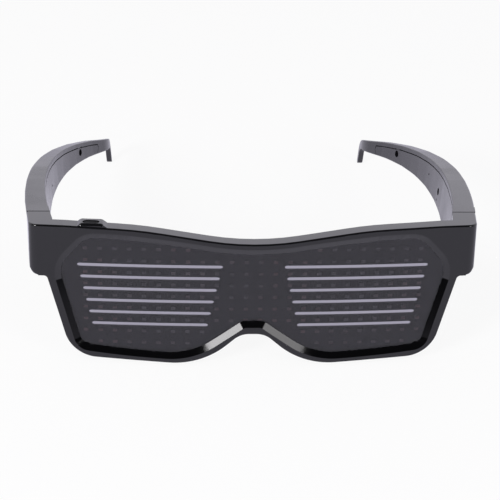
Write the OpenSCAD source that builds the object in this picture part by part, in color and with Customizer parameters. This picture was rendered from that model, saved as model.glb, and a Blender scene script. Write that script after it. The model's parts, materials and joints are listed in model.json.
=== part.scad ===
// Light-up party glasses with a wrapped LED front and two folding temples.
// Lengths are millimetres and angles are degrees.
// The object is drawn as it is worn: X to its right in the view, Y back towards the ears, Z up.
// Height 0 is the level top of the temples and Y 0 is the middle of the front face.
// The last module tips it back onto its two lower lobes and its two ear tips, as it stands on a table.

/* [Front] */
// Radius of the wrapped front face, about an upright axis behind the head
wrap_radius = 690; // [500:10:1200]
// Depth of the front from its face to its back
front_depth = 6.3; // [5.8:0.1:9]
// Half the width of the front across its upper corners
front_half_w = 83.2; // [82:0.1:84]
// Drop from the temples' top to the lowest point of the lobes
lobe_drop = 55.3; // [54:0.1:60]
// Drop from the temples' top to the top of the nose arch
nose_drop = 42.4; // [41.4:0.1:43.5]
// Drop of the dipped top edge at the centre, where its two slopes would meet
brow_drop = 7.35; // [6.5:0.05:8.5]
// Outer wall of the front shell
wall = 1.5; // [1.2:0.1:1.6]
// Thickness of the front wall round the window
face_wall = 1.4; // [1:0.1:1.8]
// Width of the polished bevel that runs down to the window
bevel_w = 2.3; // [1.5:0.1:2.5]
// Thickness of the rear shell
rear_wall = 1.3; // [1:0.1:1.5]
// Gap between parts that fit into one another
fit_gap = 0.15; // [0.1:0.05:0.3]

/* [Window and light board] */
// Thickness of the smoked panel
panel_t = 1.2; // [0.8:0.1:1.4]
// Width of the panel's hidden flange outside the window
panel_flange = 1; // [0.6:0.1:1.2]
// Thickness of the light board
board_t = 1; // [0.8:0.1:1.2]
// Gap between the panel and the board, where the lights sit
light_gap = 0.4; // [0.4:0.05:0.6]
// Spacing of the lights along a row
light_pitch_x = 5.446; // [5.2:0.002:5.6]
// Spacing of the rows of lights
light_pitch_z = 4.7; // [4.5:0.05:4.8]
// Drop from the temples' top to the first row of lights
light_drop = 9.6; // [9.4:0.1:9.8]
// Height of a viewing slit in the board
slit_h = 1.9; // [1.4:0.1:2.2]
// Half distance between the inner ends of the top pair of slits
slit_inner = 11.5; // [11:0.1:13]
// Half distance between the outer ends of the top pair of slits
slit_outer = 65.7; // [64:0.1:66]
// Inward step of each end from one slit to the next one down
slit_step = 1.06; // [0.8:0.02:1.1]
// Height of the wider slits in the rear shell
rear_slit_h = 3.4; // [3:0.1:3.5]

/* [Temples] */
// Distance from the front face to the seam where the temples start
seam_y = 19.5; // [19:0.1:21]
// Height of the end blocks and of the temples at the seam
block_h = 20; // [19.5:0.1:20.5]
// Lean of the temples and blocks, inwards towards the bottom
lean = 5.1; // [3:0.1:6]
// Widest half width over the temples' outer faces
bulge_x = 87.86; // [87.4:0.02:88.6]
// Half width between the temples' inner faces at their widest
inner_x = 80.46; // [80:0.02:80.8]
// Distance from the front face to the back of the ear tips
reach = 164.4; // [163:0.1:168]
// Drop from the temples' top to the ends of the ear tips
tip_drop = 27.2; // [25:0.1:29]
// Wall of the temple shells
temple_wall = 1.3; // [1.1:0.1:1.4]
// Thickness of the temple covers
cover_t = 1.5; // [1.2:0.1:1.6]
// Width of the open seam round each cover
seam_gap = 0.25; // [0.15:0.05:0.35]
// Distance from the front face to the rear end of the covers
cover_end_y = 143; // [140:0.5:146]
// Distance from the front face to the cover screws
cover_screw_y = 125; // [122:0.5:128]

/* [Hinges] */
// Half distance between the two hinge pins
pin_x = 77.2; // [77:0.05:77.4]
// Distance from the front face to the hinge pins
pin_y = 15.5; // [15.2:0.1:15.8]
// Diameter of the hinge pins
pin_d = 1.6; // [1.4:0.1:1.8]
// Radius of the temples' knuckles round the pins
knuckle_r = 2; // [1.8:0.05:2.1]
// Thickness of the block's top and bottom cheeks
cheek_t = 2.8; // [2.4:0.1:3.2]

/* [Button and inner parts] */
// Distance of the power button from the middle
button_x = 60.3; // [58:0.1:62]
// Length of the button's oval cap
button_w = 6; // [5:0.1:6.4]
// Width of the button's oval cap
button_d = 3.3; // [3:0.1:3.4]
// Travel of the button
button_travel = 0.5; // [0.3:0.1:0.5]
// Diameter of the charging socket's hole
socket_d = 3; // [2.8:0.1:3.4]

/* [Hidden] */

// Fineness of small rounds, and of the long gentle curves
$fn = 48;
curve_fn = 720;
// Turn between two points of a rounded outline
arc_step = 3;
far = 200;

gloss = [0.06, 0.06, 0.07];
satin = [0.42, 0.41, 0.45];
smoke = [0.2, 0.2, 0.23, 0.6];
steel = [0.7, 0.7, 0.72];

// Depths behind the front face, layer by layer
panel_y = face_wall;
board_y = panel_y + panel_t + light_gap;
rear_y = front_depth - rear_wall;

// Outlines are lists of [across, up, radius] corners, each corner an arc of its radius

function unit(v) = v / norm(v);
function xy(c) = [c[0], c[1]];
function turn(a, b, c) = cross(xy(b) - xy(a), xy(c) - xy(b));
function corner(a, b, c) =
    let (u = unit(xy(a) - xy(b)), v = unit(xy(c) - xy(b)),
         half = acos(u * v) / 2,
         middle = xy(b) + unit(u + v) * b[2] / sin(half),
         start = xy(b) + u * b[2] / tan(half) - middle,
         from = atan2(start.y, start.x),
         sweep = sign(turn(a, b, c)) * (180 - 2 * half),
         n = max(2, ceil(abs(sweep) / arc_step)))
    [for (i = [0 : n]) middle + b[2] * [cos(from + sweep * i / n), sin(from + sweep * i / n)]];
function rounded(c) =
    [for (i = [0 : len(c) - 1])
        each c[i][2] == 0 ? [xy(c[i])]
            : corner(c[(i + len(c) - 1) % len(c)], c[i], c[(i + 1) % len(c)])];

// The same outline, w wider all round (corners run anticlockwise)
function grown(c, w) =
    [for (i = [0 : len(c) - 1])
        let (a = c[(i + len(c) - 1) % len(c)], b = c[i], d = c[(i + 1) % len(c)],
             e = unit(xy(b) - xy(a)), f = unit(xy(d) - xy(b)),
             p = [e.y, -e.x], q = [f.y, -f.x],
             m = xy(b) + (p + q) * w / (1 + p * q))
        [m.x, m.y, b[2] == 0 ? 0 : max(0.05, b[2] + sign(turn(a, b, d)) * w)]];

// A right half, given from bottom to top, completed with its mirror image
function both_halves(c) =
    concat(c, [for (i = [len(c) - 1 : -1 : 0]) if (c[i][0] > 0) [-c[i][0], c[i][1], c[i][2]]]);

front_outline = both_halves([
    [4.4, -nose_drop, 4],
    [19.3, -lobe_drop, 30],
    [67.6, -lobe_drop + 2.1, 13],
    [76.9, -block_h, 1.5],
    [front_half_w - 3, -block_h, 0],
    [front_half_w - 1.2, 0, 0],
    [70, 0, 60],
    [42.3, -1, 150],
    [0, -brow_drop, 110]]);

window_outline = both_halves([
    [3.9, -nose_drop + 5.2, 5],
    [23.5, -lobe_drop + 4.2, 27],
    [64.1, -lobe_drop + 7.8, 4],
    [72.7, -16.2, 10],
    [62.3, -4.9, 8],
    [48, -5.2, 100],
    [0, -brow_drop - 4.1, 110]]);

// Plan curves of the temples, as corner lists from the seam to the ear tip
inner_front_r = 234;
inner_rear_r = 196;
outer_curve = [
    [bulge_x - 2.86, seam_y, 0],
    [bulge_x, 38.3, 248],
    [bulge_x, 106, 186],
    [bulge_x - 25.86, reach - 11.8, 17],
    [bulge_x - 25.86, far, 0]];
inner_curve = [
    [inner_x - 4.2, seam_y, 0],
    [inner_x, 41.5, inner_front_r],
    [inner_x, 107.7, inner_rear_r],
    [inner_x - 20.8, reach - 12, 25],
    [inner_x - 20.8, far, 0]];
inner_peak_y = 64;

function shifted(c, d) = [for (p = c) [p[0] + d, p[1], p[2]]];
function backwards(c) = [for (i = [len(c) - 1 : -1 : 0]) c[i]];

// Side view of a temple
top_edge = [
    [seam_y, 0, 0],
    [106.2, 0, 351],
    [reach - 0.2, -16.5, 7],
    [reach, -tip_drop, 1.4]];
bottom_edge = [
    [reach - 3.2, -tip_drop, 1.4],
    [reach - 3.8, -19.6, 3.5],
    [97.9, -10, 310],
    [41, -block_h, 40],
    [seam_y, -block_h, 0]];
temple_side = backwards(concat(bottom_edge, top_edge));

// Sheet between two depths behind the wrapped face
module layer(near, back) {
    translate([0, wrap_radius, -70]) difference() {
        cylinder(r = wrap_radius - near, h = 90, $fn = curve_fn);
        translate([0, 0, -1]) cylinder(r = wrap_radius - back, h = 92, $fn = curve_fn);
    }
}

// Flat shapes pushed along Y, from the front backwards, and along X
module along_y(from, to) {
    translate([0, to, 0]) rotate([90, 0, 0]) linear_extrude(to - from) children();
}
module along_x(from, to) {
    translate([from, 0, 0]) rotate([90, 0, 90]) linear_extrude(to - from) children();
}

// A flat front view turned into a sheet that follows the wrap
module wrapped(near, back) {
    intersection() {
        along_y(-1, 30) children();
        layer(near, back);
    }
}

// A point on the wrap, and a frame there that faces straight out of it
function wrap_y(x, depth) = wrap_radius - sqrt(pow(wrap_radius - depth, 2) - x * x);
module at_wrap(x, depth, z) {
    translate([x, wrap_y(x, depth), z]) rotate([0, 0, asin(x / wrap_radius)]) children();
}

module both_sides() {
    children();
    mirror([1, 0, 0]) children();
}

module stadium(length, height) {
    square([length - height, height], center = true);
    for (side = [-1, 1]) translate([side * (length - height) / 2, 0]) circle(d = height);
}

// The sloped window opening: one loft through the face, wider in front than behind, with flat ends
module window_cut() {
    slope = bevel_w / face_wall;
    front = -1;
    back = face_wall + 0.6;
    flat_end = 14;
    rim = rounded(grown(window_outline, (face_wall - front) * slope));
    sill = rounded(grown(window_outline, (face_wall - back) * slope));
    n = len(rim);
    polyhedron(
        points = concat([for (p = rim) [p.x, -flat_end, p.y]],
                        [for (p = rim) [p.x, wrap_y(p.x, front), p.y]],
                        [for (p = sill) [p.x, wrap_y(p.x, back), p.y]],
                        [for (p = sill) [p.x, flat_end, p.y]]),
        faces = concat([[for (i = [n - 1 : -1 : 0]) i]],
                       [[for (i = [3 * n : 4 * n - 1]) i]],
                       [for (k = [0 : n : 2 * n], i = [0 : n - 1]) [k + i, k + (i + 1) % n, k + n + (i + 1) % n]],
                       [for (k = [0 : n : 2 * n], i = [0 : n - 1]) [k + i, k + n + (i + 1) % n, k + n + i]]),
        convexity = 6);
}

// Where the bay for the board ends, short of the end blocks
bay_half_w = 73.6;
module bay(gap) {
    intersection() {
        polygon(rounded(grown(front_outline, -wall - gap)));
        translate([-bay_half_w + gap, -70]) square([2 * (bay_half_w - gap), 80]);
    }
}

// Screws that hold the rear shell, as [across, up]
screw_spots = [[24, -lobe_drop + 4.35], [-24, -lobe_drop + 4.35], [62.5, -lobe_drop + 6.7],
               [-62.5, -lobe_drop + 6.7], [71.6, -4.4], [-71.6, -4.4]];
screw_d = 1.4;
screw_head_d = 2.6;
boss_d = 3;

// Low collar on the top edge round the button
collar_top = 0.8;
collar = [
    [-button_x - 5.2, -1.2, 0],
    [-button_x + 6, -1.2, 0],
    [-button_x + 6, -0.6, 0],
    [-button_x + 4, collar_top, 2],
    [-button_x - 3.8, collar_top, 2],
    [-button_x - 5.2, -0.3, 0]];
button_depth = 3.1;

module button_hole(gap) {
    at_wrap(-button_x, button_depth, -3) linear_extrude(6)
        stadium(button_w + 2 * gap, button_d + 2 * gap);
}

// Temples and end blocks share one plan, leaned about their top edge
module leaned() {
    translate([inner_x, 0, 0]) rotate([0, lean, 0]) translate([-inner_x, 0, 0])
        translate([0, 0, -50]) linear_extrude(60) children();
}
// Plan strip of the right temple, from in_gap outside its inner face to out_gap inside its outer one
module strip(in_gap, out_gap) {
    polygon(rounded(concat(shifted(outer_curve, -out_gap), backwards(shifted(inner_curve, in_gap)))));
}
// Plan strip just behind the inner face
module inner_strip(from, to) {
    polygon(rounded(concat(shifted(inner_curve, to), backwards(shifted(inner_curve, from)))));
}

// The right end block: front corner, outer side and inner side, up to the seam
block_front = [front_half_w - 0.25, 3];
block_plan = [
    [inner_x - 5.8, 3, 0],
    [block_front.x, block_front.y, 0],
    [outer_curve[0][0], seam_y, 0],
    [inner_curve[0][0], seam_y, 0],
    [inner_x - 5.6, seam_y - 8.2, 0]];
module block_side() {
    spread = atan((outer_curve[0][0] - block_front.x) / (seam_y - block_front.y));
    intersection() {
        leaned() polygon(rounded(block_plan));
        translate([block_front.x, block_front.y, 0]) rotate([0, 0, -spread]) along_y(-4, 18)
            polygon(rounded([
                [-20, -block_h, 0],
                [-block_h * tan(lean), -block_h, 1.2],
                [0, 0, 0.5],
                [-20, 0, 0]]));
        translate([0, wrap_radius, -60]) cylinder(r = wrap_radius, h = 80, $fn = curve_fn);
    }
}

// Room in the block for the temple's knuckle, open to the head side and to the rear
knuckle_top = -cheek_t - fit_gap;
knuckle_bottom = -block_h + cheek_t + fit_gap;
module knuckle_room() {
    translate([pin_x - 9, pin_y - knuckle_r - 0.5, -block_h + cheek_t])
        cube([9 + knuckle_r + 0.5, 20, block_h - 2 * cheek_t]);
}

// The block's inner rear corner is rounded about the pin so the temple can swing past it
module corner_relief() {
    difference() {
        translate([pin_x - 9, pin_y, -block_h - 1]) cube([9, 9, block_h + 2]);
        translate([pin_x, pin_y, -block_h - 2]) cylinder(r = seam_y - pin_y + 0.05, h = block_h + 4);
    }
}

module front_shell() {
    color(gloss) difference() {
        union() {
            wrapped(0, front_depth) polygon(rounded(front_outline));
            both_sides() block_side();
            intersection() {
                along_y(-1, 30) polygon(rounded(collar));
                layer(0.7, front_depth);
            }
        }
        difference() {
            wrapped(face_wall, front_depth + 1) bay(0);
            for (spot = screw_spots) intersection() {
                along_y(-1, 30) translate(spot) circle(d = boss_d);
                layer(0, rear_y);
            }
        }
        window_cut();
        for (spot = screw_spots) at_wrap(spot.x, front_depth, spot.y)
            rotate([90, 0, 0]) cylinder(d = screw_d - 0.1, h = front_depth - face_wall - 0.6);
        button_hole(fit_gap);
        both_sides() {
            knuckle_room();
            corner_relief();
            translate([pin_x, pin_y, -block_h - 1]) cylinder(d = pin_d + 0.04, h = block_h);
            translate([pin_x, pin_y, -block_h - 1]) cylinder(d = pin_d + 1.1, h = 1.9);
        }
    }
}

module smoked_panel() {
    color(smoke) difference() {
        wrapped(panel_y, panel_y + panel_t) polygon(rounded(grown(window_outline, panel_flange)));
        for (spot = screw_spots) along_y(-1, 30) translate(spot) circle(d = boss_d + 2 * fit_gap);
    }
}

// Lights in each row, from the first column to the last, counted inwards from the outer edge
light_rows = [[0, 7], [0, 11], [0, 11], [0, 11], [0, 11], [0, 11], [0, 11], [0, 8], [1, 7]];
light_cols = 12;
slit_count = 6;
module slits(height, length_extra, shift) {
    for (i = [0 : slit_count - 1]) {
        inner = slit_inner + slit_step * i;
        outer = slit_outer - slit_step * i;
        translate([(inner + outer) / 2, -light_drop - (i + 1.5) * light_pitch_z + shift])
            stadium(outer - inner + length_extra, height);
    }
}

module led_board() {
    color([0.09, 0.1, 0.1]) wrapped(board_y, board_y + board_t) difference() {
        polygon(rounded(grown(window_outline, 0.5)));
        slits(slit_h, 0, 0);
        mirror([1, 0]) slits(slit_h, 0, 0);
        for (spot = screw_spots) translate(spot) circle(d = boss_d + 2 * fit_gap);
    }
}

light_w = 1.6;
light_h = 1;
light_t = 0.35;
module leds() {
    color([0.75, 0.75, 0.7]) both_sides() for (row = [0 : len(light_rows) - 1])
        for (col = [light_rows[row][0] : light_rows[row][1]])
            at_wrap((light_cols - 0.5 - col) * light_pitch_x, board_y, -light_drop - row * light_pitch_z)
                translate([-light_w / 2, -light_t, -light_h / 2]) cube([light_w, light_t, light_h]);
}

chip_t = 0.8;
solder_t = 0.03;
module driver_chips() {
    color([0.05, 0.05, 0.05]) for (chip = [[0, -17.5, 7], [0, -27.5, 7], [0, -35, 4]])
        at_wrap(chip.x, board_y + board_t + solder_t, chip.y)
            translate([-chip[2] / 2, 0, -chip[2] / 2]) cube([chip[2], chip_t, chip[2]]);
}

// Saddle moulded on the rear shell along the nose arch, thicker at the back
saddle_depth = 5;
saddle_t = 1.8;
nose_outline = both_halves([
    front_outline[0],
    front_outline[1],
    [40, -lobe_drop + 1, 0],
    [40, -20, 0]]);
module nose_saddle() {
    intersection() {
        along_y(rear_y, front_depth + saddle_depth) difference() {
            polygon(rounded(grown(nose_outline, -wall - fit_gap)));
            polygon(rounded(grown(nose_outline, -wall - fit_gap - saddle_t)));
        }
        along_y(0, 20) translate([-17, -50.5]) square([34, 15]);
        along_x(-20, 20) polygon(rounded([
            [rear_y, -60, 0], [front_depth + 1.2, -60, 3], [front_depth + saddle_depth, -44, 4],
            [front_depth + saddle_depth - 0.6, -38, 2], [rear_y, -38, 0]]));
    }
}

module rear_shell() {
    color(gloss) difference() {
        union() {
            wrapped(rear_y, front_depth) bay(fit_gap);
            nose_saddle();
        }
        along_y(0, 30) {
            slits(rear_slit_h, 1.6, -0.4);
            mirror([1, 0]) slits(rear_slit_h, 1.6, -0.4);
        }
        for (spot = screw_spots) {
            along_y(0, 30) translate(spot) circle(d = screw_d + 0.2);
            intersection() {
                along_y(0, 30) translate(spot) circle(d = screw_head_d + 0.3);
                layer(front_depth - 0.7, front_depth + 9);
            }
        }
    }
}

module rear_screws() {
    color(steel) for (spot = screw_spots) at_wrap(spot.x, front_depth, spot.y) rotate([90, 0, 0]) {
        cylinder(d = screw_d - 0.14, h = 3.6);
        cylinder(d = screw_head_d, h = 0.65);
    }
}

button_top = 0.55;
flange_top = -2.2;
flange_t = 0.6;
stem_end = -3.4;
module power_button() {
    color([0.03, 0.03, 0.03]) at_wrap(-button_x, button_depth, 0) {
        translate([0, 0, flange_top]) linear_extrude(button_top - flange_top) stadium(button_w, button_d);
        translate([0, 0, flange_top - flange_t]) linear_extrude(flange_t)
            stadium(button_w + 1.8, button_d - 0.1);
        translate([-1, 0.7, stem_end]) cube([2, 0.8, flange_top - stem_end]);
    }
}

// Thin side-push switch on the back of the board, below the button
module button_switch() {
    top = stem_end - button_travel - 0.05;
    color(steel) at_wrap(-button_x, board_y + board_t + solder_t, 0) {
        translate([-2, 0, top - 2.9]) cube([4, 0.8, 2.3]);
        translate([-0.7, 0.1, top - 0.7]) cube([1.4, 0.6, 0.7]);
    }
}

module hinge_pin() {
    color(steel) {
        translate([pin_x, pin_y, -block_h + 0.7]) cylinder(d = pin_d, h = block_h - 1.9);
        translate([pin_x, pin_y, -block_h + 0.05]) cylinder(d = pin_d + 1, h = 0.8);
    }
}
module right_hinge_pin() { hinge_pin(); }
module left_hinge_pin() { mirror([1, 0, 0]) hinge_pin(); }

// Whole outer form of the right temple
temple_y = seam_y + fit_gap;
module behind(y) {
    translate([y, -60]) square([far, 80]);
}
module temple_form() {
    intersection() {
        leaned() strip(0, 0);
        along_x(40, 100) intersection() {
            polygon(rounded(temple_side));
            behind(temple_y);
        }
    }
}

// Side view of a cover: its seam runs below the top edge, and its rear end is pointed
cover_seam = 2.1;
end_slope = 16.5 / (reach - 106.4);
cover_side = [
    [seam_y - 1, -60, 0],
    [far, -60, 0],
    [far, -cover_seam - (far - 106.2) * end_slope, 0],
    [106.2, -cover_seam, 349],
    [44, -cover_seam, 90],
    [seam_y - 1, -0.5, 0]];
cover_end = [
    [0, -61, 0],
    [cover_end_y - 1.6, -61, 0],
    [cover_end_y - 1.6, -17, 0],
    [cover_end_y, -13.9, 0],
    [cover_end_y - 3, -7, 0],
    [cover_end_y - 3, 5, 0],
    [0, 5, 0]];
module cover_outline(w) {
    intersection() {
        polygon(rounded(grown(cover_side, w)));
        polygon(rounded(grown(cover_end, w)));
    }
}
module cover_pocket() {
    intersection() {
        leaned() inner_strip(-1, cover_t + seam_gap);
        along_x(40, 100) cover_outline(seam_gap);
    }
}

// Hollow for the battery or the board behind the cover
hollow_from = 27;
hollow_to = 108;
module hollow() {
    intersection() {
        leaned() strip(cover_t, temple_wall);
        along_x(40, 100) intersection() {
            cover_outline(-0.9);
            polygon(rounded(grown(temple_side, -1.5)));
            translate([hollow_from, -60]) square([hollow_to - hollow_from, 80]);
        }
    }
}

// Plan of the inner face: how far out it is and which way it faces at a distance y
function inner_r(y) = y < inner_peak_y ? inner_front_r : inner_rear_r;
function face_x(y) = inner_x - inner_r(y) + sqrt(pow(inner_r(y), 2) - pow(y - inner_peak_y, 2));
function face_turn(y) = asin((y - inner_peak_y) / inner_r(y));
// Frame on the right temple's inner face, with X into the temple
module on_inner_face(y, z) {
    translate([face_x(y) + z * tan(lean), y, z]) rotate([0, lean, face_turn(y)]) children();
}
module bore_in(d, from, to) {
    translate([from, 0, 0]) rotate([0, 90, 0]) cylinder(d = d, h = to - from);
}

cover_screw_z = -10.7;
cover_pad_t = 2.6;
pad_d = 5;
module cover_screw() {
    color(steel) on_inner_face(cover_screw_y, cover_screw_z) {
        bore_in(2.8, 0.9, 1.65);
        bore_in(1.3, 1.6, 3.9);
    }
}

module temple_shell() {
    difference() {
        union() {
            temple_form();
            // knuckle and the neck that joins it to the temple
            translate([pin_x, pin_y, knuckle_bottom])
                cylinder(r = knuckle_r, h = knuckle_top - knuckle_bottom);
            translate([0, 0, knuckle_bottom]) linear_extrude(knuckle_top - knuckle_bottom) polygon([
                [pin_x, pin_y - knuckle_r], [pin_x + knuckle_r, pin_y], [pin_x + knuckle_r, temple_y + 2],
                [pin_x - 1, temple_y + 2], [pin_x - knuckle_r, pin_y]]);
        }
        cover_pocket();
        hollow();
        translate([pin_x, pin_y, -block_h]) cylinder(d = pin_d + 0.1, h = block_h);
        on_inner_face(cover_screw_y, cover_screw_z) {
            bore_in(pad_d + 0.4, 0, cover_pad_t + 0.1);
            bore_in(1.34, 1, 4);
        }
    }
}

module temple_cover() {
    difference() {
        union() {
            intersection() {
                leaned() inner_strip(0, cover_t);
                along_x(40, 100) intersection() {
                    cover_outline(0);
                    polygon(rounded(temple_side));
                    behind(temple_y);
                }
            }
            on_inner_face(cover_screw_y, cover_screw_z) bore_in(pad_d, 0.6, cover_pad_t);
        }
        on_inner_face(cover_screw_y, cover_screw_z) {
            bore_in(3.2, -1, 1.7);
            bore_in(1.7, -1, 4);
        }
    }
}

module right_temple_shell() { color(satin) temple_shell(); }
module left_temple_shell() { color(satin) mirror([1, 0, 0]) temple_shell(); }
module right_cover_screw() { cover_screw(); }
module left_cover_screw() { mirror([1, 0, 0]) cover_screw(); }

// Places of the small parts on the inner faces, as [back, up]
socket_spot = [70.5, -9.5];
light_spot = [71.5, -13.4];
mic_spot = [88, -7.8];
vent_spot = [77.7, -9.9];
pinhole_d = 1;

module right_temple_cover() {
    color(satin) difference() {
        temple_cover();
        on_inner_face(socket_spot.x, socket_spot.y) bore_in(socket_d, -1, 4);
        on_inner_face(light_spot.x, light_spot.y) bore_in(pinhole_d, -1, 4);
        on_inner_face(mic_spot.x, mic_spot.y) bore_in(pinhole_d, -1, 4);
    }
}

module left_temple_cover() {
    color(satin) mirror([1, 0, 0]) difference() {
        temple_cover();
        on_inner_face(vent_spot.x, vent_spot.y) bore_in(pinhole_d, -1, 4);
    }
}

// Flat cell in the left temple and the foam pad that holds it to the shell
cell_from = 34;
cell_to = 72;
cell_h = 9.4;
cell_t = 2.8;
cell_z = -8.7;
cell_in = cover_t + 0.2;
foam_t = 1.3;
module battery() {
    middle = (cell_from + cell_to) / 2;
    color([0.75, 0.76, 0.8]) mirror([1, 0, 0]) on_inner_face(middle, cell_z)
        translate([cell_in, -(cell_to - cell_from) / 2, -cell_h / 2])
            cube([cell_t, cell_to - cell_from, cell_h]);
}
module battery_foam() {
    middle = (cell_from + cell_to) / 2;
    color([0.9, 0.88, 0.8]) mirror([1, 0, 0]) on_inner_face(middle, cell_z)
        translate([cell_in + cell_t, -7, -3]) cube([foam_t, 14, 6]);
}

// Board in the right temple, with the parts that show through the cover's holes
pcb_from = 60;
pcb_to = 92;
pcb_in = cover_t + 1.4;
pcb_h = 7.6;
pcb_middle = (pcb_from + pcb_to) / 2;
pcb_z = -8.7;
socket_w = 4.8;
socket_h = 4.4;
socket_back = 4.9;
module socket_box(gap) {
    on_inner_face(socket_spot.x, socket_spot.y)
        translate([cover_t + 0.1, -socket_w / 2 - gap, -socket_h / 2 - gap])
            cube([socket_back - cover_t - 0.1, socket_w + 2 * gap, socket_h + 2 * gap]);
}
module control_board() {
    color([0.05, 0.25, 0.15]) difference() {
        on_inner_face(pcb_middle, pcb_z) translate([pcb_in, -(pcb_to - pcb_from) / 2, -pcb_h / 2])
            cube([0.8, pcb_to - pcb_from, pcb_h]);
        socket_box(fit_gap);
    }
}
module bluetooth_module() {
    color([0.1, 0.1, 0.12]) on_inner_face(pcb_middle, pcb_z)
        translate([pcb_in - 1, 0, -3.5]) cube([1, 9, 7]);
}
module charging_socket() {
    color([0.12, 0.12, 0.13]) difference() {
        socket_box(0);
        on_inner_face(socket_spot.x, socket_spot.y) bore_in(socket_d - 0.4, 0, socket_back - 0.4);
    }
}
module microphone() {
    color(steel) on_inner_face(mic_spot.x, mic_spot.y) bore_in(2.6, cover_t + 0.1, pcb_in - 0.15);
}
module charge_light() {
    color([0.8, 0.15, 0.1]) on_inner_face(light_spot.x, light_spot.y)
        translate([cover_t + 0.1, -0.8, -0.3]) cube([1.2, 1.6, 0.8]);
}

// Resting pose: tipped back until the lobes and the ear tips stand on one level
tip_r = 1.4;
lobe_edge = [wrap_y(28, front_depth), -lobe_drop + 0.45];
tip_centre = [reach - 1.6, -tip_drop + tip_r];
rest_tilt = atan((tip_centre.y - tip_r / cos(10) - lobe_edge.y) / (tip_centre.x - lobe_edge.x));
rest_lift = lobe_edge.x * sin(rest_tilt) - lobe_edge.y * cos(rest_tilt);
front_most = min([for (p = rounded(front_outline))
    wrap_y(p.x, 0) * cos(rest_tilt) + p.y * sin(rest_tilt)]);
rear_most = max([for (p = rounded(temple_side)) p.x * cos(rest_tilt) + p.y * sin(rest_tilt)]);
rest_shift = (front_most + rear_most) / 2;
module at_rest() {
    translate([0, -rest_shift, rest_lift]) rotate([-rest_tilt, 0, 0]) children();
}

at_rest() front_shell();
at_rest() smoked_panel();
at_rest() led_board();
at_rest() leds();
at_rest() driver_chips();
at_rest() rear_shell();
at_rest() rear_screws();
at_rest() power_button();
at_rest() button_switch();
at_rest() left_hinge_pin();
at_rest() right_hinge_pin();
at_rest() left_temple_shell();
at_rest() left_temple_cover();
at_rest() left_cover_screw();
at_rest() battery();
at_rest() battery_foam();
at_rest() right_temple_shell();
at_rest() right_temple_cover();
at_rest() right_cover_screw();
at_rest() control_board();
at_rest() bluetooth_module();
at_rest() charging_socket();
at_rest() microphone();
at_rest() charge_light();
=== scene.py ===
import json
import math
import bpy
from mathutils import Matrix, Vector

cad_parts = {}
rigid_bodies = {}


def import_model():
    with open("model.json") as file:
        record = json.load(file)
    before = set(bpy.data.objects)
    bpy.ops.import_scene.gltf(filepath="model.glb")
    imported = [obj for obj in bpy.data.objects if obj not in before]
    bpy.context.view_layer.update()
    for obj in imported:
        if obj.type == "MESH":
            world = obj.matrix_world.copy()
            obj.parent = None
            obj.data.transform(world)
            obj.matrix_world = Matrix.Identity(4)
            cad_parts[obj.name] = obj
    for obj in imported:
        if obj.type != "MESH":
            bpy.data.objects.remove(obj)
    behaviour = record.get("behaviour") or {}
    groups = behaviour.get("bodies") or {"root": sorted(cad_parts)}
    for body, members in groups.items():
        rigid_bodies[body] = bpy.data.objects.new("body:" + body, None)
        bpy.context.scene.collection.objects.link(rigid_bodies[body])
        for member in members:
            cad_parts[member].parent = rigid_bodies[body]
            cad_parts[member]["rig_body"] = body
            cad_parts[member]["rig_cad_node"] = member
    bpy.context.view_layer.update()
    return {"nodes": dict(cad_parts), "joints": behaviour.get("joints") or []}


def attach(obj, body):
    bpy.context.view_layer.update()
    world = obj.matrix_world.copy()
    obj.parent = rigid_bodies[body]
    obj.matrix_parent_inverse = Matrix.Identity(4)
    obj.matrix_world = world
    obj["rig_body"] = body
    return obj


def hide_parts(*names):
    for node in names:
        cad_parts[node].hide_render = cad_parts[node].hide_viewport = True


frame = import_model()


# Front shell: the gloss black moulding that carries everything else.
# Injection-moulded ABS from a polished tool, so it mirrors the room. Its top edge is
# rounded, and a polished bevel runs down to the window.

# Sizes below are millimetres on the glasses as worn: across, back and up from the middle
# of the brow. The hinge joint says where that frame stands at rest.
front_half = 83.2
wrap_radius = 690
brow_depth = 7.35
hinge = [j for j in frame["joints"] if j["name"] == "right_hinge"][0]
up = Vector(hinge["axis"]).normalized()
back = Vector((0, up.z, -up.y))
brow = Vector(hinge["pos_m"]) - (Vector((77.2, 0, 0)) + back * 15.5 - up * 10) / 1000


def worn(x, y, z):
    """The place of a point of the glasses as worn."""
    return brow + (Vector((x, 0, 0)) + back * y + up * z) / 1000


def worn_way(x, y, z):
    """The same for a direction."""
    return (Vector((x, 0, 0)) + back * y + up * z).normalized()


def rounded_line(corners):
    """Points along an open line of [a, b, radius] corners, each an arc of its radius."""
    line = [Vector(corners[0][:2])]
    for before, (a, b, radius), after in zip(corners, corners[1:], corners[2:]):
        corner = Vector((a, b))
        one = (Vector(before[:2]) - corner).normalized()
        two = (Vector(after[:2]) - corner).normalized()
        half = one.angle(two) / 2
        middle = corner + (one + two).normalized() * radius / math.sin(half)
        start = corner + one * radius / math.tan(half) - middle
        sweep = (math.pi - 2 * half) * (1 if one.x * two.y < one.y * two.x else -1)
        count = max(3, math.ceil(abs(math.degrees(sweep)) / 3))
        for i in range(count + 1):
            turn = sweep * i / count
            line.append(middle + Vector((start.x * math.cos(turn) - start.y * math.sin(turn),
                                         start.x * math.sin(turn) + start.y * math.cos(turn))))
    line.append(Vector(corners[-1][:2]))
    return line


def alone(*pieces):
    """Selects these pieces and nothing else, the first one active."""
    bpy.ops.object.select_all(action="DESELECT")
    for piece in pieces:
        piece.select_set(True)
    bpy.context.view_layer.objects.active = pieces[0]


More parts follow.
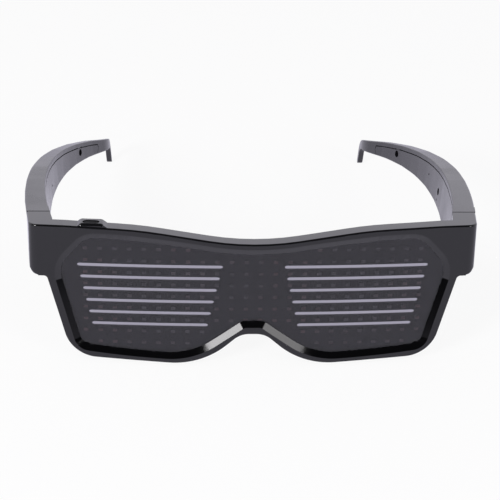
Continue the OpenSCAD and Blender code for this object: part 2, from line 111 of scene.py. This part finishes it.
def closed_copy(node, name):
    """A copy of a CAD node merged into one closed mesh, in place of the node."""
    alone(frame["nodes"][node])
    bpy.ops.object.duplicate()
    piece = bpy.context.view_layer.objects.active
    piece.name = name
    bpy.ops.mesh.customdata_custom_splitnormals_clear()
    bpy.ops.object.mode_set(mode="EDIT")
    bpy.ops.mesh.select_all(action="SELECT")
    bpy.ops.mesh.remove_doubles(threshold=0.000004)
    bpy.ops.object.mode_set(mode="OBJECT")
    del piece["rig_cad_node"]
    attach(piece, frame["nodes"][node]["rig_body"])
    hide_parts(node)
    return piece


def edge_cutter(stations, steps=5):
    """A strip that takes an edge down to a round. Each station is a point on the sharp edge,
    the directions out of its two faces and the radius there."""
    # The round stands proud of both faces by this much, so that no faces coincide
    proud = 0.004
    rows = []
    for point, one, two, radius in stations:
        spread = 1 + one.dot(two)
        axis = point - (one + two) * (radius - proud) / spread / 1000
        arc = [axis + one.lerp(two, i / steps).normalized() * radius / 1000 for i in range(steps + 1)]
        beyond = [arc[-1] + two * 0.0003, point + (one + two) * 0.0006, arc[0] + one * 0.0003]
        rows.append(arc + beyond)
    width = len(rows[0])
    points = [p for row in rows for p in row]
    faces = [list(range(width)), list(range(len(points) - 1, len(points) - width - 1, -1))]
    for k in range(len(rows) - 1):
        for i in range(width):
            j = (i + 1) % width
            faces.append([k * width + i, (k + 1) * width + i, (k + 1) * width + j, k * width + j])
    mesh = bpy.data.meshes.new("edge_cutter")
    mesh.from_pydata(points, [], faces)
    cutter = bpy.data.objects.new("edge_cutter", mesh)
    bpy.context.scene.collection.objects.link(cutter)
    alone(cutter)
    bpy.ops.object.mode_set(mode="EDIT")
    bpy.ops.mesh.select_all(action="SELECT")
    bpy.ops.mesh.normals_make_consistent(inside=False)
    bpy.ops.object.mode_set(mode="OBJECT")
    return cutter


def carve(piece, cutter):
    """Takes the cutter out of the piece."""
    alone(piece)
    cut = piece.modifiers.new("cut", "BOOLEAN")
    cut.object = cutter
    cut.operation = "DIFFERENCE"
    cut.solver = "EXACT"
    bpy.ops.object.modifier_apply(modifier="cut")
    bpy.data.objects.remove(cutter)


def smooth(piece, angle=28):
    """Shades the rounds smooth and keeps the flats flat."""
    alone(piece)
    bpy.ops.object.shade_smooth_by_angle(angle=math.radians(angle))
    weighted = piece.modifiers.new("flats", "WEIGHTED_NORMAL")
    weighted.keep_sharp = True
    weighted.weight = 60
    bpy.ops.object.modifier_apply(modifier="flats")


def from_hex(text):
    """A screen colour written as in a paint chart, as linear light."""
    steps = [int(text[i:i + 2], 16) / 255 for i in (1, 3, 5)]
    return [s / 12.92 if s <= 0.04045 else ((s + 0.055) / 1.055) ** 2.4 for s in steps] + [1]


def add_node(tree, kind, inputs=None, **settings):
    """Adds a node with its settings; an input is a value or another node's output."""
    made = tree.nodes.new("ShaderNode" + kind)
    for name, value in settings.items():
        setattr(made, name, value)
    for name, value in (inputs or {}).items():
        if isinstance(value, bpy.types.NodeSocket):
            tree.links.new(value, made.inputs[name])
        else:
            made.inputs[name].default_value = value
    return made


def empty_finish(name):
    """A new material with nothing in its tree."""
    finish = bpy.data.materials.new(name)
    finish.use_nodes = True
    finish.node_tree.nodes.clear()
    return finish, finish.node_tree


def moulded_abs(name, colour, gloss, wave, texture, index=1.53):
    """Moulded ABS: its colour, roughness, waviness depth and fine texture depth in metres."""
    finish, tree = empty_finish(name)
    place = add_node(tree, "TexCoord").outputs["Object"]
    # A thin wall shrinks a little unevenly: long waves of about 14 mm
    waves = add_node(tree, "TexNoise", {"Vector": place, "Scale": 70, "Detail": 1})
    # Handling marks and mould texture, 0.4 mm apart
    marks = add_node(tree, "TexNoise", {"Vector": place, "Scale": 2500, "Detail": 3})
    long_bump = add_node(tree, "Bump", {"Height": waves.outputs["Fac"], "Distance": wave})
    fine_bump = add_node(tree, "Bump", {"Height": marks.outputs["Fac"], "Distance": texture,
                                        "Normal": long_bump.outputs["Normal"]})
    # Wiped and fingered patches, about 20 mm across, change the gloss slightly
    patches = add_node(tree, "TexNoise", {"Vector": place, "Scale": 50, "Detail": 4})
    rough = add_node(tree, "MapRange", {"Value": patches.outputs["Fac"], "From Min": 0.3,
                                        "From Max": 0.7, "To Min": gloss * 0.75, "To Max": gloss * 1.3})
    skin = add_node(tree, "BsdfPrincipled", {
        "Base Color": from_hex(colour), "Roughness": rough.outputs["Result"], "IOR": index,
        "Normal": fine_bump.outputs["Normal"]})
    add_node(tree, "OutputMaterial", {"Surface": skin.outputs["BSDF"]})
    return finish


def dress(piece, finish):
    """Gives a piece one finish."""
    piece.data.materials.clear()
    piece.data.materials.append(finish)


def finish_node(node, finish):
    """Gives a CAD node that stays as it is a better finish."""
    frame["nodes"][node].data.materials.clear()
    frame["nodes"][node].data.materials.append(finish)


gloss_black = moulded_abs("polished_black_abs", "#0b0b0d", 0.06, 0.00003, 0.0000004)
# The bevel's dark and bright finishes are painted reflection, given to its faces by height
bevel_painted_dark_reflection = moulded_abs("polished_black_bevel_painted_dark_reflection", "#050506", 0.1, 0.00001, 0.0000002, 1.3)
bevel_painted_bright_reflection = moulded_abs("polished_black_bevel_painted_bright_reflection", "#0b0b0d", 0.06, 0.00001, 0.0000002, 1.6)
front = closed_copy("front_shell", "front_moulding")

# Plan of an end block: the face, the upright corner and the outer side back to the seam
corner_radius = 4
block_height = 20
lean = math.radians(5.1)
lean_slope = math.tan(lean)
touch = front_half - 0.785 * corner_radius
slope = math.asin(touch / wrap_radius)
corner = Vector((front_half, wrap_radius * (1 - math.cos(slope)) + (front_half - touch) * math.tan(slope)))
seam = Vector((85, 19.5))
block_plan = rounded_line([[touch - 1, corner.y - (front_half - touch + 1) * math.tan(slope)],
                           [corner.x, corner.y, corner_radius], [seam.x, seam.y]])[1:]
side_way = (seam - corner).normalized()


def lean_at(y):
    """Slope of the side's lean: upright at the front corner, full at the seam."""
    return lean_slope * max(0, min(1, (y - corner.y) / (seam.y - corner.y)))


def side_out(side, along, slope_in=0):
    """The way out of an outer side that runs along this line of the plan."""
    return worn_way(side * along.y, -along.x, -slope_in * abs(along.y))


def block_stations(side, height, flat_way, radius_at):
    """Stations along an outer edge of a block, from the face round the corner to the seam."""
    made = []
    for here, there in zip(block_plan, block_plan[1:] + [seam + side_way]):
        share = min(1, abs((there - here).normalized().angle(Vector((1, math.tan(slope))))
                           / side_way.angle(Vector((1, math.tan(slope))))))
        made.append((worn(side * (here.x + height * lean_at(here.y)), here.y, height), flat_way,
                     side_out(side, (there - here).normalized(), lean_at(here.y)), radius_at(share)))
    return made


# The blocks' outer sides stand upright at the front and take up the temples' lean at the
# seam. Their rear faces move forward, which leaves a dark gap of 0.65 mm before the temples
seam_opening = 0.5
wall_start = 76
wall_blend = 3
for spot in front.data.vertices:
    at = spot.co - brow
    across, depth, height = abs(at.x) * 1000, at.dot(back) * 1000, at.dot(up) * 1000
    if depth > seam.y - 0.1:
        spot.co += back * (seam.y - seam_opening - depth) / 1000
    outer = max(0, min(1, (across - wall_start) / wall_blend))
    if outer > 0 and -block_height - 1 < height < 0:
        given = -height * (lean_slope - lean_at(depth)) * outer
        spot.co.x += math.copysign(given / 1000, at.x)

# The lower outer edge is wide at the side and fine at the face
fine_edge = 0.6
edge_growth = 2.2
for side in (1, -1):
    upright = [(worn(side * corner.x, corner.y, z), worn_way(side * math.sin(slope), -math.cos(slope), 0),
                side_out(side, side_way), corner_radius) for z in (2, -block_height - 2)]
    carve(front, edge_cutter(upright, 10))
    lower = block_stations(side, -block_height, -up, lambda share: fine_edge + edge_growth * share)
    carve(front, edge_cutter(lower, 8))

# The lower outline: lobes and nose arch, trimmed to the moulding's finished edge
lower_half = [[68, -51.85, 13], [19.3, -54.8, 30], [4.5, -42, 8.5]]
trim = rounded_line([[front_half + 2, -block_height - 0.02], [76.9, -block_height - 0.02, 1.5]] + lower_half
                    + [[-a, b, r] for a, b, r in reversed(lower_half)]
                    + [[-76.9, -block_height - 0.02, 1.5], [-2 - front_half, -block_height - 0.02]])
below_all = -70
trim += [Vector((-2 - front_half, below_all)), Vector((front_half + 2, below_all))]
before_all = -3
behind_shell = 14
points = [worn(p.x, y, p.y) for y in (before_all, behind_shell) for p in trim]
count = len(trim)
faces = [list(range(count)), list(range(2 * count - 1, count - 1, -1))]
faces += [[i, count + i, count + (i + 1) % count, (i + 1) % count] for i in range(count)]
mesh = bpy.data.meshes.new("outline_cutter")
mesh.from_pydata(points, [], faces)
cutter = bpy.data.objects.new("outline_cutter", mesh)
bpy.context.scene.collection.objects.link(cutter)
alone(cutter)
bpy.ops.object.mode_set(mode="EDIT")
bpy.ops.mesh.select_all(action="SELECT")
bpy.ops.mesh.normals_make_consistent(inside=False)
bpy.ops.object.mode_set(mode="OBJECT")
carve(front, cutter)

# The top edge, round both upright corners and across the brow
top_line = rounded_line([[front_half - 1, 0], [70, 0, 60], [42.3, -1, 150], [0, -brow_depth, 110],
                         [-42.3, -1, 150], [-70, 0, 60], [1 - front_half, 0]])
top_radius = 0.65
stations = block_stations(1, 0, up, lambda share: top_radius)[::-1]
inside = [p for p in top_line if abs(p.x) < block_plan[0].x - 0.1]
for before, here, after in zip([top_line[0]] + inside, inside, inside[1:] + [top_line[-1]]):
    along = (after - before).normalized()
    turn = math.asin(here.x / wrap_radius)
    stations.append((worn(here.x, wrap_radius * (1 - math.cos(turn)), here.y),
                     worn_way(along.y, 0, -along.x), worn_way(math.sin(turn), -math.cos(turn), 0),
                     top_radius))
stations += block_stations(-1, 0, up, lambda share: top_radius)
carve(front, edge_cutter(stations, 6))

# The button's collar runs down into the top edge in front
button_x = 60.3
collar_line = rounded_line([[-button_x - 5.2, -0.3], [-button_x - 3.8, 0.8, 2],
                            [-button_x + 4, 0.8, 2], [-button_x + 6, -0.6]])
collar_front = 0.7
collar_radius = 1
stations = []
for before, here, after in zip(collar_line, collar_line[1:], collar_line[2:]):
    along = (after - before).normalized()
    turn = math.asin(here.x / (wrap_radius - collar_front))
    stations.append((worn(here.x, wrap_radius - (wrap_radius - collar_front) * math.cos(turn), here.y),
                     worn_way(-along.y, 0, along.x), worn_way(math.sin(turn), -math.cos(turn), 0),
                     collar_radius))
carve(front, edge_cutter(stations, 6))
smooth(front)
dress(front, gloss_black)

# The bevel is the sloped band at 30 degrees to the face, all round the window. Its lower
# part gets a darker finish and its upper part a brighter one, split at a height: a painted reflection of a
# dark room below and a light one above
bevel_depth = 1.9
bevel_half_width = 77
bevel_top = -4
painted_reflection_split = -21.5
front.data.materials.append(bevel_painted_dark_reflection)
front.data.materials.append(bevel_painted_bright_reflection)
for face in front.data.polygons:
    from_brow = face.center - brow
    turn = math.asin(from_brow.x * 1000 / wrap_radius)
    out = worn_way(math.sin(turn), -math.cos(turn), 0)
    depth = from_brow.dot(back) * 1000 - wrap_radius * (1 - math.cos(turn))
    height = from_brow.dot(up) * 1000
    sloped = 0.8 < face.normal.dot(out) < 0.93
    if sloped and depth < bevel_depth and abs(from_brow.x) < bevel_half_width / 1000 and height < bevel_top:
        # Painted reflection: faces below the split height get the dark finish, those above it the bright
        # one
        face.material_index = 1 if height < painted_reflection_split else 2


# Smoked panel: the tinted window behind the bevel of the front.
# Cast acrylic sheet, 1.2 mm, polished on both faces, through which the board shows dimly.

panel = closed_copy("smoked_panel", "smoked_window")
alone(panel)
bpy.ops.object.shade_smooth_by_angle(angle=math.radians(32))
smoke, tree = empty_finish("smoked_acrylic")
place = add_node(tree, "TexCoord").outputs["Object"]
# A cast sheet is flat to the eye, with a haze of fine wiping marks in its gloss
wipes = add_node(tree, "TexNoise", {"Vector": place, "Scale": 60, "Detail": 5})
haze = add_node(tree, "MapRange", {"Value": wipes.outputs["Fac"], "From Min": 0.3, "From Max": 0.7,
                                   "To Min": 0.01, "To Max": 0.035})
tint = add_node(tree, "BsdfPrincipled", {
    "Base Color": from_hex("#adacb0"), "Roughness": haze.outputs["Result"], "IOR": 1.49,
    "Transmission Weight": 1})
add_node(tree, "OutputMaterial", {"Surface": tint.outputs["BSDF"]})
dress(panel, smoke)


# Light board: the black circuit board with its viewing slits.
# Glass-fibre sheet under matt black solder mask, bent to the wrap of the front.

black_mask, tree = empty_finish("black_solder_mask")
place = add_node(tree, "TexCoord").outputs["Object"]
# The weave of the glass cloth, 0.5 mm, lifts the mask a little
weave = add_node(tree, "TexNoise", {"Vector": place, "Scale": 2000, "Detail": 2})
bump = add_node(tree, "Bump", {"Height": weave.outputs["Fac"], "Distance": 0.00001})
mask = add_node(tree, "BsdfPrincipled", {
    "Base Color": from_hex("#050506"), "Roughness": 0.6, "IOR": 1.25, "Normal": bump.outputs["Normal"]})
add_node(tree, "OutputMaterial", {"Surface": mask.outputs["BSDF"]})
board = closed_copy("led_board", "slitted_board")

# The routed slits are 1.5 mm high, a little above the middle between two rows of lamps
drawn_slit = 1.9
real_slit = 1.5
lamp_pitch = 4.7
first_lamp = 9.6
raised = 0.5
slit_inner = 11.4
slit_outer = 65.8
slit_step = 1.06
for corner_point in board.data.vertices:
    place_worn = corner_point.co - brow
    height = place_worn.dot(up) * 1000
    row = round((-height - first_lamp) / lamp_pitch - 0.5)
    middle = -first_lamp - (row + 0.5) * lamp_pitch
    across = abs(place_worn.x) * 1000
    step = slit_step * (row - 1)
    on_edge = abs(height - middle) < drawn_slit / 2 + 0.01
    if 1 <= row <= 6 and on_edge and slit_inner + step < across < slit_outer - step:
        corner_point.co += up * ((height - middle) * (real_slit / drawn_slit - 1) + raised) / 1000
alone(board)
bpy.ops.object.shade_smooth_by_angle(angle=math.radians(28))
dress(board, black_mask)


# Lamps: small moulded chip lights in rows, soldered to the front of the board.
# A grey epoxy body, some of them faintly red where their chip shows through.

lamp_body, tree = empty_finish("chip_lamp")
place = add_node(tree, "TexCoord").outputs["Object"]
# Chips from several reels differ from place to place, about 25 mm apart
reels = add_node(tree, "TexNoise", {"Vector": place, "Scale": 40, "Detail": 1})
shade = add_node(tree, "ValToRGB", {"Fac": reels.outputs["Fac"]})
shade.color_ramp.elements[0].position = 0.42
shade.color_ramp.elements[0].color = from_hex("#525156")
shade.color_ramp.elements[1].position = 0.62
shade.color_ramp.elements[1].color = from_hex("#664849")
body = add_node(tree, "BsdfPrincipled", {
    "Base Color": shade.outputs["Color"], "Roughness": 0.4, "IOR": 1.5})
add_node(tree, "OutputMaterial", {"Surface": body.outputs["BSDF"]})
lamps = closed_copy("leds", "chip_lamps")
lamps_raised = 0.3
for corner_point in lamps.data.vertices:
    corner_point.co += up * lamps_raised / 1000
alone(lamps)
bpy.ops.object.shade_smooth_by_angle(angle=math.radians(28))
dress(lamps, lamp_body)


# Driver chips and the button's switch, on the back of the board.
# Transfer-moulded black epoxy, matt from its fine grit, and a switch in a stamped tinned case.

chip_black, tree = empty_finish("chip_epoxy")
place = add_node(tree, "TexCoord").outputs["Object"]
grit = add_node(tree, "TexNoise", {"Vector": place, "Scale": 6000, "Detail": 2})
bump = add_node(tree, "Bump", {"Height": grit.outputs["Fac"], "Distance": 0.000004})
epoxy = add_node(tree, "BsdfPrincipled", {
    "Base Color": from_hex("#18181a"), "Roughness": 0.55, "IOR": 1.55, "Normal": bump.outputs["Normal"]})
add_node(tree, "OutputMaterial", {"Surface": epoxy.outputs["BSDF"]})
finish_node("driver_chips", chip_black)


def drawn_steel(name, colour, rough):
    """Steel with the fine lines that drawing or turning leaves, about 0.1 mm apart."""
    finish, tree = empty_finish(name)
    place = add_node(tree, "TexCoord").outputs["Object"]
    lines = add_node(tree, "TexNoise", {"Vector": place, "Scale": 9000, "Detail": 2})
    gloss = add_node(tree, "MapRange", {"Value": lines.outputs["Fac"], "From Min": 0.3, "From Max": 0.7,
                                        "To Min": rough * 0.8, "To Max": rough * 1.2})
    bump = add_node(tree, "Bump", {"Height": lines.outputs["Fac"], "Distance": 0.000002})
    metal = add_node(tree, "BsdfPrincipled", {
        "Base Color": from_hex(colour), "Metallic": 1, "Roughness": gloss.outputs["Result"],
        "Normal": bump.outputs["Normal"]})
    add_node(tree, "OutputMaterial", {"Surface": metal.outputs["BSDF"]})
    return finish


bright_steel = drawn_steel("drawn_steel", "#b9b8ba", 0.3)
finish_node("button_switch", bright_steel)


# Rear shell: closes the front from behind and carries the nose saddle.
# Injection-moulded in the same gloss black ABS, and held to the front by six small
# flush screws of plain steel.

rear = closed_copy("rear_shell", "rear_moulding")
smooth(rear, 32)
dress(rear, gloss_black)
finish_node("rear_screws", bright_steel)


# Power button: the oval cap on the brow.
# Moulded black ABS with a dull crown, sunk in its hole in the collar.

button_black = moulded_abs("dull_black_abs", "#070708", 0.5, 0.000005, 0.000002, 1.15)
button = closed_copy("power_button", "power_cap")
smooth(button)
dress(button, button_black)


# Hinge pins: plain steel, turned from rod.
# Each is pressed up through the knuckles of the end block from below.

finish_node("left_hinge_pin", bright_steel)
finish_node("right_hinge_pin", bright_steel)


# Temples: each one a shell with a cover let into its inner side.
# Moulded ABS in a slightly greyer black, from a tool polished less than the front's.

satin_black = moulded_abs("satin_black_abs", "#1b1b1e", 0.22, 0.00003, 0.0000008, 1.66)
reach = 164.4
tip_drop = 27.2
inner_wide = 80.46
outer_plan = rounded_line([[85, 19.5], [87.86, 38.3, 248], [87.86, 106, 186], [62, 152.6, 17], [62, 200]])
inner_plan = rounded_line([[76.26, 19.5], [80.46, 41.5, 234], [80.46, 107.7, 196], [59.66, 152.4, 25],
                           [59.66, 200]])
top_side = rounded_line([[19.5, 0], [106.2, 0, 351], [164.2, -16.5, 7], [reach, -tip_drop, 1.4],
                         [reach - 3.2, -tip_drop]])
low_side = rounded_line([[reach, -tip_drop], [161.2, -tip_drop, 1.4], [160.6, -19.6, 3.5], [97.9, -10, 310],
                         [41, -block_height, 40], [19.5, -block_height]])


def plan_at(plan, y):
    """Where a plan curve is at this distance back, and its direction there."""
    for here, there in zip(plan, plan[1:]):
        if there.y >= y:
            along = there - here
            return here.x + along.x * (y - here.y) / along.y, along.normalized()


def temple_stations(side, plan, face, profile, first, radius_at):
    """Stations along one edge of a temple; face is 1 for its outer side and -1 for its inner one."""
    made = []
    for before, here, after in zip(profile, profile[1:], profile[2:]):
        if here.x < first:
            continue
        across, along = plan_at(plan, here.x)
        x = inner_wide + (across - inner_wide) / math.cos(lean) + here.y * lean_slope
        run = (after - before).normalized()
        flat = worn_way(0, -run.y, run.x)
        out = worn_way(side * face * along.y * math.cos(lean), -face * along.x,
                       -face * along.y * math.sin(lean))
        made.append((worn(side * x, here.x, here.y), flat, out, radius_at(here.x)))
    return made


def denser(line):
    """The same line with points at most 6 mm apart."""
    made = [line[0]]
    for here in line[1:]:
        parts = max(1, math.ceil((here - made[-1]).length / 6))
        start = made[-1]
        made += [start.lerp(here, (i + 1) / parts) for i in range(parts)]
    return made


def low_radius(y):
    """The lower edge is wide behind the block and fine towards the ear."""
    return fine_edge + edge_growth * min(1, max(0, (75 - y) / 30))


top_side = denser(top_side)
low_side = denser(low_side)
start = 18
# The cover's seam opens by lowering the cover's top, a band of 5 mm below the temple's top
cover_lowered = 0.18
cover_band = 5
top_curve = [Vector((p.y, p.x)) for p in top_side if p.x < reach - 1]
for side, name in ((-1, "left"), (1, "right")):
    shell = closed_copy(name + "_temple_shell", name + "_temple_shell_moulding")
    cover = closed_copy(name + "_temple_cover", name + "_temple_cover_moulding")
    carve(shell, edge_cutter(temple_stations(side, outer_plan, 1, top_side, start, lambda y: 0.8)))
    carve(shell, edge_cutter(temple_stations(side, inner_plan, -1, top_side, start, lambda y: 0.5)))
    carve(shell, edge_cutter(temple_stations(side, outer_plan, 1, low_side, start, low_radius)))
    carve(shell, edge_cutter(temple_stations(side, inner_plan, -1, low_side, start, lambda y: 0.5)))
    carve(cover, edge_cutter(temple_stations(side, inner_plan, -1, low_side, start, lambda y: 0.5)))
    for spot in cover.data.vertices:
        at = spot.co - brow
        if at.dot(up) * 1000 > plan_at(top_curve, at.dot(back) * 1000)[0] - cover_band:
            spot.co -= up * cover_lowered / 1000
    for piece in (shell, cover):
        smooth(piece)
        dress(piece, satin_black)

black_screw = drawn_steel("blackened_steel", "#1c1c1e", 0.35)
finish_node("left_cover_screw", black_screw)
finish_node("right_cover_screw", black_screw)


# Battery: a flat cell in a crimped foil pouch, held by a pad of foam.

foil, tree = empty_finish("pouch_foil")
place = add_node(tree, "TexCoord").outputs["Object"]
# The foil wrinkles a few millimetres apart over the wound cell
wrinkles = add_node(tree, "TexNoise", {"Vector": place, "Scale": 300, "Detail": 3})
bump = add_node(tree, "Bump", {"Height": wrinkles.outputs["Fac"], "Distance": 0.0001})
metal = add_node(tree, "BsdfPrincipled", {
    "Base Color": from_hex("#c9cacd"), "Metallic": 1, "Roughness": 0.32, "Normal": bump.outputs["Normal"]})
add_node(tree, "OutputMaterial", {"Surface": metal.outputs["BSDF"]})
finish_node("battery", foil)

foam, tree = empty_finish("cell_foam")
place = add_node(tree, "TexCoord").outputs["Object"]
# Open cells of about 0.3 mm
cells = add_node(tree, "TexVoronoi", {"Vector": place, "Scale": 3300})
shade = add_node(tree, "ValToRGB", {"Fac": cells.outputs["Distance"]})
shade.color_ramp.elements[0].color = from_hex("#e6e2d6")
shade.color_ramp.elements[1].color = from_hex("#b4ae9e")
bump = add_node(tree, "Bump", {"Height": cells.outputs["Distance"], "Distance": 0.0001})
pad = add_node(tree, "BsdfPrincipled", {
    "Base Color": shade.outputs["Color"], "Roughness": 0.9, "Normal": bump.outputs["Normal"]})
add_node(tree, "OutputMaterial", {"Surface": pad.outputs["BSDF"]})
finish_node("battery_foam", foam)


# Control board in the right temple, with its radio, socket, microphone and charge light.
# Glass-fibre sheet under green mask, whose copper tracks show a little lighter.

green_mask, tree = empty_finish("green_solder_mask")
place = add_node(tree, "TexCoord").outputs["Object"]
# Tracks about 0.5 mm apart
tracks = add_node(tree, "TexBrick", {
    "Vector": place, "Color1": from_hex("#0e4a2a"), "Color2": from_hex("#10542f"),
    "Mortar": from_hex("#1c7443"), "Scale": 250})
mask = add_node(tree, "BsdfPrincipled", {
    "Base Color": tracks.outputs["Color"], "Roughness": 0.35, "IOR": 1.5})
add_node(tree, "OutputMaterial", {"Surface": mask.outputs["BSDF"]})
finish_node("control_board", green_mask)
finish_node("bluetooth_module", chip_black)
finish_node("charging_socket", chip_black)
finish_node("microphone", bright_steel)

red_lens, tree = empty_finish("red_lamp_epoxy")
place = add_node(tree, "TexCoord").outputs["Object"]
clouds = add_node(tree, "TexNoise", {"Vector": place, "Scale": 1200, "Detail": 2})
shade = add_node(tree, "ValToRGB", {"Fac": clouds.outputs["Fac"]})
shade.color_ramp.elements[0].color = from_hex("#8a1a12")
shade.color_ramp.elements[1].color = from_hex("#b02a1e")
lens_skin = add_node(tree, "BsdfPrincipled", {
    "Base Color": shade.outputs["Color"], "Roughness": 0.2, "IOR": 1.5})
add_node(tree, "OutputMaterial", {"Surface": lens_skin.outputs["BSDF"]})
finish_node("charge_light", red_lens)


# Floor, light and camera: a white table before a white wall, a dark room over and behind the
# camera, and two softboxes in front, left and right.

bpy.ops.object.select_all(action="DESELECT")
bpy.ops.mesh.primitive_plane_add(size=6, location=(0, 0, 0))
floor = bpy.context.view_layer.objects.active
floor.name = "table"
white_table, tree = empty_finish("white_table")
seen = add_node(tree, "LightPath")
card = add_node(tree, "BsdfDiffuse", {"Color": from_hex("#fafafa")})
bare = add_node(tree, "Emission", {"Color": (1, 1, 1, 1), "Strength": 1})
mirrored = add_node(tree, "Emission", {"Color": from_hex("#ece9fa"), "Strength": 1})
glow = add_node(tree, "MixShader", {0: seen.outputs["Is Glossy Ray"], 1: bare.outputs[0],
                                    2: mirrored.outputs[0]})
direct = add_node(tree, "Math", {0: seen.outputs["Is Camera Ray"], 1: seen.outputs["Is Glossy Ray"]},
                  operation="MAXIMUM")
direct = add_node(tree, "Math", {0: direct.outputs[0], 1: seen.outputs["Is Transmission Ray"]},
                  operation="MAXIMUM")
share = add_node(tree, "Math", {0: direct.outputs[0], 1: 0.9}, operation="MULTIPLY")
mixed = add_node(tree, "MixShader", {0: share.outputs[0], 1: card.outputs[0], 2: glow.outputs[0]})
add_node(tree, "OutputMaterial", {"Surface": mixed.outputs[0]})
floor.data.materials.append(white_table)

tent = bpy.data.worlds.new("studio")
bpy.context.scene.world = tent
tent.use_nodes = True
tree = tent.node_tree
tree.nodes.clear()
seen = add_node(tree, "LightPath")
way = add_node(tree, "SeparateXYZ", {"Vector": add_node(tree, "TexCoord").outputs["Generated"]})
# The white wall stands behind the glasses and fades out between 30 and 64 degrees up
behind = add_node(tree, "MapRange", {"Value": way.outputs["Y"], "From Min": -0.25, "From Max": 0.25})
below = add_node(tree, "MapRange", {"Value": way.outputs["Z"], "From Min": 0.9, "From Max": 0.5})
wall = add_node(tree, "Math", {0: behind.outputs[0], 1: below.outputs[0]}, operation="MULTIPLY")
wall = add_node(tree, "MapRange", {"Value": wall.outputs[0], "To Min": 0.06, "To Max": 1.3})
room = add_node(tree, "Background", {"Color": from_hex("#f3f1fb"), "Strength": wall.outputs[0]})
soft = add_node(tree, "Background", {"Color": from_hex("#f5f3fb"), "Strength": 0.45})
bare = add_node(tree, "Background", {"Color": (1, 1, 1, 1), "Strength": 1})
mixed = add_node(tree, "MixShader", {0: seen.outputs["Is Glossy Ray"], 1: soft.outputs[0],
                                     2: room.outputs[0]})
direct = add_node(tree, "Math", {0: seen.outputs["Is Camera Ray"], 1: seen.outputs["Is Transmission Ray"]},
                  operation="MAXIMUM")
mixed = add_node(tree, "MixShader", {0: direct.outputs[0], 1: mixed.outputs[0], 2: bare.outputs[0]})
add_node(tree, "OutputWorld", {"Surface": mixed.outputs[0]})


def softbox(name, place, aim, size, watts):
    """A square softbox that faces a point of the object."""
    lamp = bpy.data.lights.new(name, "AREA")
    lamp.size = size
    lamp.energy = watts
    lamp.color = (1, 0.985, 1)
    box = bpy.data.objects.new(name, lamp)
    bpy.context.scene.collection.objects.link(box)
    box.location = place
    across = [aim[i] - place[i] for i in range(3)]
    flat = math.hypot(across[0], across[1])
    box.rotation_euler = (math.atan2(flat, -across[2]), 0, math.atan2(-across[0], across[1]))


softbox("left_front", (-0.75, -0.8, 0.56), (0, 0, 0.03), 0.3, 9)
softbox("right_front", (0.75, -0.8, 0.56), (0, 0, 0.03), 0.3, 3)

# Camera: a long lens 0.69 m from the middle of the glasses, looking 31 degrees down
lens = bpy.data.cameras.new("camera")
lens.lens = 117.2
lens.shift_x = 0.00994
lens.shift_y = 0.00032
camera = bpy.data.objects.new("camera", lens)
bpy.context.scene.collection.objects.link(camera)
camera.location = (-0.035152, -0.588147, 0.358069)
camera.rotation_euler = [math.radians(a) for a in (58.7789, -1.62685, -2.53756)]
bpy.context.scene.camera = camera
bpy.context.scene.view_settings.view_transform = "Standard"
